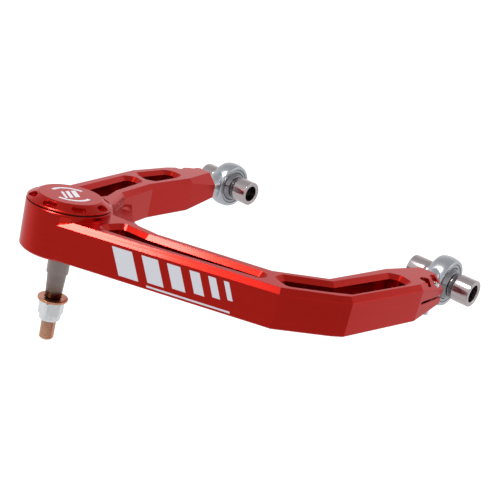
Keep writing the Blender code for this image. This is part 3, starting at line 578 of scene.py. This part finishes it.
# %% Lathe
AROUND = 120
AXES = {"Z": ((1, 0, 0), (0, 1, 0), (0, 0, 1)), "Y": ((0, 0, 1), (1, 0, 0), (0, 1, 0))}
AXES["-Y"] = ((1, 0, 0), (0, 0, 1), (0, -1, 0))
AXES["X"] = ((0, 1, 0), (0, 0, 1), (1, 0, 0))


def broken_corners(profile, radius, steps=4):
    """Each corner becomes a quadratic curve that starts and ends at most radius away along its sides."""
    corner = np.array(profile, float)
    before = np.roll(corner, 1, axis=0) - corner
    after = np.roll(corner, -1, axis=0) - corner
    room = np.minimum(np.linalg.norm(before, axis=1), np.linalg.norm(after, axis=1))
    reach = np.minimum(radius, 0.4 * room)[:, None]
    start = corner + before / np.linalg.norm(before, axis=1)[:, None] * reach
    end = corner + after / np.linalg.norm(after, axis=1)[:, None] * reach
    share = np.linspace(0.0, 1.0, steps)[None, :, None]
    curve = (1 - share) ** 2 * start[:, None] + 2 * share * (1 - share) * corner[:, None]
    return (curve + share**2 * end[:, None]).reshape(-1, 2)


def surface(name, radius, height, centre, axis, closed=True):
    """Points at radius[row, turn] and height[row, turn] round an axis through centre."""
    turn = np.linspace(0.0, 2 * np.pi, radius.shape[1], endpoint=False)[None, :]
    across, up, along = (np.array(way, float) for way in AXES[axis])
    points = (
        np.array(centre)
        + (radius * np.cos(turn))[..., None] * across
        + (radius * np.sin(turn))[..., None] * up
        + (height * np.ones_like(radius))[..., None] * along
    )
    mesh = grid_mesh(name, points, wrap_u=closed, wrap_v=True)
    work = bmesh.new()
    work.from_mesh(mesh)
    bmesh.ops.remove_doubles(work, verts=work.verts, dist=0.001 * MM)
    bmesh.ops.recalc_face_normals(work, faces=work.faces)
    work.to_mesh(mesh)
    work.free()
    mesh.shade_smooth()
    mesh.set_sharp_from_angle(angle=np.radians(34.0))
    made = bpy.data.objects.new(name, mesh)
    bpy.context.scene.collection.objects.link(made)
    return made


def turned(name, profile, centre, axis, soften=0.3):
    """A closed profile of (radius, height) in millimetres, carried once round the axis."""
    outline = broken_corners(profile, soften) * MM
    outline[:, 0] = np.maximum(outline[:, 0], 0.0)
    radius = np.repeat(outline[:, :1], AROUND, axis=1)
    return surface(name, radius, outline[:, 1:], centre, axis)


def bowl(radius, low, high, steps=24):
    """(radius, height) along a sphere between two heights."""
    height = np.linspace(low, high, steps)
    return np.stack([np.sqrt(radius**2 - height**2), height], axis=1).tolist()


# %% [markdown]
# ## Rod ends
# Each is a forged eye with a rolled race, a chromed ball and two spacers that step the ball's bore down
# to the pivot bolt. The eye's neck swells out of the shank and narrows to the eye's own width.

# %% Sizes of a rod end, in millimetres
BALL = 16.65
BALL_HALF = 11.1
BALL_HOLE = 9.7
EYE_HOLE = 18.2
EYE_OUTER = 22.8
EYE_HALF = 8.2
EYE_CROWN = 2.4  # how far the rim bulges past the flat sides
EYE_EDGE = 0.5
SHANK = 9.35
SHANK_END = 74.0
SPACER = 12.2
SPACER_LENGTH = 31.9
SPACER_HOLE = 7.9
SPACER_NECK = 10.9
GAP = 0.3


# %% Eye and shank
def eye_profile():
    """The eye's section: a bored hole with broken edges and a round rim."""
    turn = np.linspace(-np.pi / 2, np.pi / 2, 21)
    face = EYE_OUTER - EYE_CROWN
    rim = np.stack([face + (EYE_OUTER - face) * np.cos(turn), EYE_HALF * np.sin(turn)], axis=1)
    below = [(EYE_HOLE, -EYE_HALF + EYE_EDGE), (EYE_HOLE + EYE_EDGE, -EYE_HALF)]
    above = [(EYE_HOLE + EYE_EDGE, EYE_HALF), (EYE_HOLE, EYE_HALF - EYE_EDGE)]
    return [*below, *rim.tolist(), *above]


NECK_START = 16.5  # distances along the shank from the eye's centre
NECK_FROM = 18.5
NECK_TO = 29.5
NECK_END = 33.0
NECK_TALL = 14.0  # half of the oval's height
NECK_THIN = 1.0  # how much less than the eye the oval is, on each side
THREAD_FROM = 34.0
THREAD_IN = 2.0  # length over which the thread deepens
THREAD_OUT = 1.5
THREAD_PITCH = 1.8
THREAD_DEPTH = 0.55


def thread_wave(length, turn, pitch):
    """A triangle wave that climbs one pitch per turn: 0 at the root and 1 at the crest."""
    phase = (length / pitch - turn / (2 * np.pi)) % 1.0
    return 1.0 - np.abs(2.0 * phase - 1.0)


def shank(name, centre):
    """Along the shank the section goes from a flat oval in the eye to a round, then a threaded rod."""
    neck = np.linspace(NECK_START, NECK_END, 24)
    rod = np.linspace(NECK_END + 0.1, SHANK_END, 180)
    run = np.concatenate([neck, rod])[:, None]
    turn = np.linspace(0.0, 2 * np.pi, AROUND, endpoint=False)[None, :]
    ease = np.clip((run - NECK_FROM) / (NECK_TO - NECK_FROM), 0.0, 1.0)
    ease = ease * ease * (3.0 - 2.0 * ease)
    wide = (EYE_HALF - NECK_THIN) + (SHANK - EYE_HALF + NECK_THIN) * ease
    tall = NECK_TALL + (SHANK - NECK_TALL) * ease
    shape = wide * tall / np.sqrt((tall * np.cos(turn)) ** 2 + (wide * np.sin(turn)) ** 2)
    starts = np.clip((run - THREAD_FROM) / THREAD_IN, 0.0, 1.0)
    cut = starts * np.clip((SHANK_END - run) / THREAD_OUT, 0.0, 1.0)
    radius = shape - THREAD_DEPTH * cut * (1.0 - thread_wave(run, turn, THREAD_PITCH))
    rows = np.vstack([np.zeros_like(turn), radius, np.zeros_like(turn)])
    heights = np.vstack([run[:1], run, run[-1:]])
    return surface(name, rows * MM, heights * MM, centre, "X", closed=False)


def merge_pieces(name, pieces):
    work = bmesh.new()
    for piece in pieces:
        work.from_mesh(piece.data)
        bpy.data.objects.remove(piece)
    mesh = bpy.data.meshes.new(name)
    work.to_mesh(mesh)
    work.free()
    mesh.shade_smooth()
    mesh.set_sharp_from_angle(angle=np.radians(34.0))
    made = bpy.data.objects.new(name, mesh)
    bpy.context.scene.collection.objects.link(made)
    return made


# %% Race, ball and spacers
RACE_HALF = EYE_HALF - 0.6
race_profile = bowl(BALL + GAP, -RACE_HALF, RACE_HALF, 16)
race_profile += [
    (EYE_HOLE - GAP - 0.45, RACE_HALF),
    (EYE_HOLE - GAP - 0.3, RACE_HALF - 0.3),
    (EYE_HOLE - GAP, RACE_HALF - 0.3),
    (EYE_HOLE - GAP, -RACE_HALF + 0.3),
    (EYE_HOLE - GAP - 0.3, -RACE_HALF + 0.3),
    (EYE_HOLE - GAP - 0.45, -RACE_HALF),
]
ball_profile = bowl(BALL, -BALL_HALF, BALL_HALF, 32) + [(BALL_HOLE, BALL_HALF), (BALL_HOLE, -BALL_HALF)]
spacer_profile = [
    (SPACER_HOLE + 0.4, GAP),
    (BALL_HOLE - GAP, GAP),
    (BALL_HOLE - GAP, BALL_HALF + GAP),
    (SPACER_NECK, BALL_HALF + GAP),
    (SPACER_NECK, 12.6),
    (SPACER_NECK + 0.3, 14.4),
    (SPACER, 16.4),
    (SPACER, SPACER_LENGTH - 0.5),
    (SPACER - 0.5, SPACER_LENGTH),
    (SPACER_HOLE + 0.6, SPACER_LENGTH),
    (SPACER_HOLE, SPACER_LENGTH - 0.6),
    (SPACER_HOLE, GAP + 0.4),
]
for side, centre in ROD_ENDS.items():
    eye = turned(f"{side}_eye_part", eye_profile(), centre, "Y", 0.2)
    whole = merge_pieces(f"{side}_eye", [eye, shank(f"{side}_shank_part", centre)])
    finished(whole, f"{side}_head", f"{side}_rod_end", ZINC_HEAD)
    piece = turned(f"{side}_rolled_race", race_profile, centre, "Y", 0.15)
    finished(piece, f"{side}_head", f"{side}_race", RACE)
    piece = turned(f"{side}_bearing_ball", ball_profile, centre, "Y", 0.4)
    finished(piece, f"{side}_ball_body", f"{side}_ball", PAINTED_SHADE_CHROME_Y)
    for where, sign in (("outer", 1.0), ("inner", -1.0)):
        axis = "Y" if sign * OUTWARD[side] > 0 else "-Y"
        piece = turned(f"{side}_{where}_spacer", spacer_profile, centre, axis, 0.35)
        finished(piece, f"{side}_spacers", f"{side}_spacer_{where}", STEEL_Y)

# %% [markdown]
# ## The ball joint's stud, washer and lock nut
# The stud is ground from its shoulder to its taper and threaded below. The lock nut is a hexagon with a
# chamfered top and a round collar that holds a nylon ring.

# %% Sizes of the stud, in millimetres from the ball's centre
STUD_TOP = 16.71
STUD_SHOULDER = 8.8
CLIP_LOW = 13.51
CLIP_HIGH = 14.71
STUD_STEP = -38.4
TAPER_WIDE = 7.7
TAPER_NARROW = 6.55
TAPER_END = -59.0
STUD_THREAD = 6.0
STUD_END = -96.6
STUD_PITCH = 1.5
WASHER_TOP = -59.8
WASHER_LOW = -61.8
WASHER_HOLE = 6.85
WASHER_OUTER = 12.3
NUT_TOP = -62.1
NUT_LOW = -79.3
NUT_FLATS = 18.0
NUT_HOLE = 6.3


# %% Stud
def stud():
    """Plain rows down to the thread, then rows whose radius follows a helix and tapers in at the tip."""
    plain = [
        (0.0, STUD_TOP),
        (STUD_SHOULDER - 1.2, STUD_TOP),
        (STUD_SHOULDER - 0.35, STUD_TOP - 0.35),
        (STUD_SHOULDER, STUD_TOP - 1.2),
        (STUD_SHOULDER, CLIP_HIGH + 0.15),
        (STUD_SHOULDER - 1.0, CLIP_HIGH + 0.15),
        (STUD_SHOULDER - 1.0, CLIP_LOW - 0.15),
        (STUD_SHOULDER, CLIP_LOW - 0.15),
        (STUD_SHOULDER, STUD_STEP + 0.7),
        (STUD_SHOULDER - 0.2, STUD_STEP + 0.2),
        (STUD_SHOULDER - 0.7, STUD_STEP),
        (TAPER_WIDE, STUD_STEP - 0.05),
        (TAPER_NARROW + 0.05, TAPER_END + 0.3),
        (TAPER_NARROW - 0.15, TAPER_END),
        (STUD_THREAD, TAPER_END - 0.5),
    ]
    run = np.linspace(TAPER_END - 0.6, STUD_END, 230)[:, None]
    turn = np.linspace(0.0, 2 * np.pi, AROUND, endpoint=False)[None, :]
    cut = np.clip((TAPER_END - 2.0 - run) / 2.0, 0.0, 1.0)
    thread = STUD_THREAD - 0.5 * cut * (1.0 - thread_wave(run, turn, STUD_PITCH))
    thread = np.minimum(thread, STUD_THREAD - 1.4 + (run - STUD_END))
    top = np.repeat(np.array(plain)[:, :1], AROUND, axis=1)
    radius = np.vstack([top, thread, np.zeros_like(turn)])
    height = np.vstack([np.array(plain)[:, 1:], run, run[-1:]])
    return surface("tapered_stud", radius * MM, height * MM, JOINT, "Z", closed=False)


finished(stud(), "stud", "stud", STUD)
clip_profile = [
    (STUD_SHOULDER - 0.7, CLIP_LOW),
    (STUD_SHOULDER + 0.9, CLIP_LOW),
    (STUD_SHOULDER + 0.9, CLIP_HIGH),
    (STUD_SHOULDER - 0.7, CLIP_HIGH),
]
clip = turned("stud_retaining_ring", clip_profile, JOINT, "Z", 0.15)
finished(clip, "stud", "stud_clip", SPRING)
washer_profile = [
    (WASHER_HOLE, WASHER_LOW),
    (WASHER_OUTER, WASHER_LOW),
    (WASHER_OUTER, WASHER_TOP),
    (WASHER_HOLE, WASHER_TOP),
]
washer = turned("flat_washer", washer_profile, JOINT, "Z", 0.5)
finished(washer, "stud", "stud_washer", YELLOW)


# %% Lock nut
def hexagon(flats, turn):
    """Radius of a hexagon at each turn: half the flats over the cosine from the nearest flat's middle."""
    away = (turn + np.pi / 6) % (np.pi / 3) - np.pi / 6
    return flats / 2 / np.cos(away)


def lock_nut():
    """Six flats cut by a cone above and below, a round collar under them, and a grooved bore."""
    rows = np.array(
        [
            # limit of the radius, height, 1 where the flats cut in
            (6.9, NUT_TOP, 0),
            (8.2, NUT_TOP, 0),
            (8.6, NUT_TOP - 0.15, 1),
            (9.6, NUT_TOP - 0.7, 1),
            (10.6, NUT_TOP - 1.3, 1),
            (10.6, NUT_LOW + 6.0, 1),
            (9.8, NUT_LOW + 5.3, 1),
            (9.0, NUT_LOW + 4.8, 1),
            (8.75, NUT_LOW + 4.5, 0),
            (8.7, NUT_LOW + 4.0, 0),
            (8.7, NUT_LOW + 1.7, 0),
            (8.5, NUT_LOW + 0.8, 0),
            (8.0, NUT_LOW + 0.2, 0),
            (7.3, NUT_LOW, 0),
            (6.6, NUT_LOW, 0),
            (NUT_HOLE, NUT_LOW + 0.3, 0),
            (NUT_HOLE, NUT_LOW + 1.1, 0),
            (7.5, NUT_LOW + 1.1, 0),
            (7.5, NUT_LOW + 4.3, 0),
            (NUT_HOLE, NUT_LOW + 4.3, 0),
            (NUT_HOLE, NUT_TOP - 0.6, 0),
        ]
    )
    around = 144
    turn = np.linspace(0.0, 2 * np.pi, around, endpoint=False)[None, :]
    flats = np.repeat(hexagon(NUT_FLATS, turn), len(rows), axis=0)
    limit = np.repeat(rows[:, :1], around, axis=1)
    radius = np.where(rows[:, 2:] > 0, np.minimum(flats, limit), limit)
    return surface("collared_lock_nut", radius * MM, rows[:, 1:2] * MM, JOINT, "Z")


finished(lock_nut(), "stud", "lock_nut", ZINC_NUT)
ring_profile = [
    (NUT_HOLE, NUT_LOW + 1.4),
    (7.2, NUT_LOW + 1.4),
    (7.2, NUT_LOW + 4.0),
    (NUT_HOLE, NUT_LOW + 4.0),
]
ring = turned("nylon_locking_ring", ring_profile, JOINT, "Z", 0.2)
finished(ring, "stud", "nut_insert", NYLON)

# %% [markdown]
# ## Inside the ball joint
# Two moulded seats hold the ball, a cone spring loads them from under the cap, and a wiper and a seal
# ring keep dirt out. They show only from below and as the dark seam under the cap.

# %% Seats, ball, spring, wiper and seal ring
JOINT_BALL = 17.0
JOINT_BALL_HALF = 13.21
STUD_HOLE = 9.1
SEAT_HALF = 8.6
SEAT_OUTER = 22.2
SEAT_SPLIT = 0.15

upper = bowl(JOINT_BALL + GAP, SEAT_SPLIT, SEAT_HALF, 16)
upper += [(SEAT_OUTER, SEAT_HALF), (SEAT_OUTER, SEAT_SPLIT)]
lower = bowl(JOINT_BALL + GAP, -SEAT_HALF, -SEAT_SPLIT, 16)
lower += [(SEAT_OUTER, -SEAT_SPLIT), (SEAT_OUTER, -SEAT_HALF)]
ball = bowl(JOINT_BALL, -JOINT_BALL_HALF, JOINT_BALL_HALF, 40)
ball += [(STUD_HOLE, JOINT_BALL_HALF), (STUD_HOLE, -JOINT_BALL_HALF)]
spring = [(18.8, 9.9), (SEAT_OUTER, 8.9), (SEAT_OUTER, 10.7), (18.8, 11.7)]
wiper = [(16.0, -9.7), (SEAT_OUTER, -9.7), (SEAT_OUTER, -8.9), (16.0, -8.9)]
seal = [(28.9, 21.26), (31.8, 21.26), (32.1, 21.55), (31.8, 21.84), (28.9, 21.84)]
INSIDE = (
    ("upper_bearing_seat", upper, "seats", "upper_seat", "bearing_polymer", POLYMER),
    ("lower_bearing_seat", lower, "seats", "lower_seat", "bearing_polymer", POLYMER),
    ("joint_bearing_ball", ball, "ball", "joint_ball", "hard_chrome", CHROME_Z),
    ("cone_spring", spring, "arm", "preload_spring", "spring_steel", SPRING),
    ("stud_wiper", wiper, "arm", "seal_washer", "black_rubber", RUBBER),
    ("cap_seal", seal, "arm", "cap_seal_ring", "black_rubber", RUBBER),
)
for name, profile, body, node, slot, finish in INSIDE:
    finished(turned(name, profile, JOINT, "Z", 0.2), body, node, finish)

# %% [markdown]
# ## Pinch screws
# Two socket-head screws close each clamp on its shank. The head's rim is knurled and the socket is a
# hexagon. Below the arm the screw's threaded end shows.

# %% Socket-head screw
SCREW = 3.0
SCREW_HEAD = 5.0
SCREW_SEAT = 4.9
SCREW_TOP = 10.9
SCREW_END = -18.5
SOCKET_FLATS = 5.0
SOCKET_FLOOR = 7.9
KNURLS = 30
KNURL_DEPTH = 0.16


def screw(name, centre):
    """Rows from the threaded tip up over the knurled head and down into the hexagonal socket."""
    around = 150
    turn = np.linspace(0.0, 2 * np.pi, around, endpoint=False)[None, :]
    run = np.linspace(SCREW_END, -4.0, 116)[:, None]
    thread = SCREW - 0.3 * (1.0 - thread_wave(run, turn, 1.0)) * np.clip((-4.5 - run) / 1.0, 0.0, 1.0)
    thread = np.minimum(thread, SCREW - 0.7 + (run - SCREW_END))
    knurl = KNURL_DEPTH * (0.5 - 0.5 * np.cos(KNURLS * turn))
    socket = hexagon(SOCKET_FLATS, turn)
    one = np.ones_like(turn)
    rows = [
        (SCREW * one, SCREW_SEAT),
        ((SCREW_HEAD - 0.3) * one, SCREW_SEAT),
        ((SCREW_HEAD - 0.1) * one, SCREW_SEAT + 0.3),
        (SCREW_HEAD - knurl, SCREW_SEAT + 0.6),
        (SCREW_HEAD - knurl, SCREW_TOP - 1.1),
        ((SCREW_HEAD - 0.15) * one, SCREW_TOP - 0.7),
        ((SCREW_HEAD - 0.35) * one, SCREW_TOP - 0.2),
        ((SCREW_HEAD - 0.7) * one, SCREW_TOP),
        (socket + 0.25, SCREW_TOP),
        (socket, SCREW_TOP - 0.25),
        (socket, SOCKET_FLOOR),
        (socket * 0.5, SOCKET_FLOOR - 0.3),
        (0.0 * one, SOCKET_FLOOR - 0.3),
    ]
    radius = np.vstack([0.0 * one, thread] + [row for row, _ in rows])
    height = np.array([SCREW_END, *run[:, 0], *[place for _, place in rows]])[:, None]
    return surface(name, radius * MM, height * MM, centre, "Z", closed=False)


for side in ROD_ENDS:
    for number in (1, 2):
        node = f"{side}_pinch_bolt_{number}"
        spot = middle(node)
        piece = screw(f"{side}_socket_screw_{number}", (spot.x, spot.y, 0.0))
        finished(piece, "arm", node, ZINC_BOLT)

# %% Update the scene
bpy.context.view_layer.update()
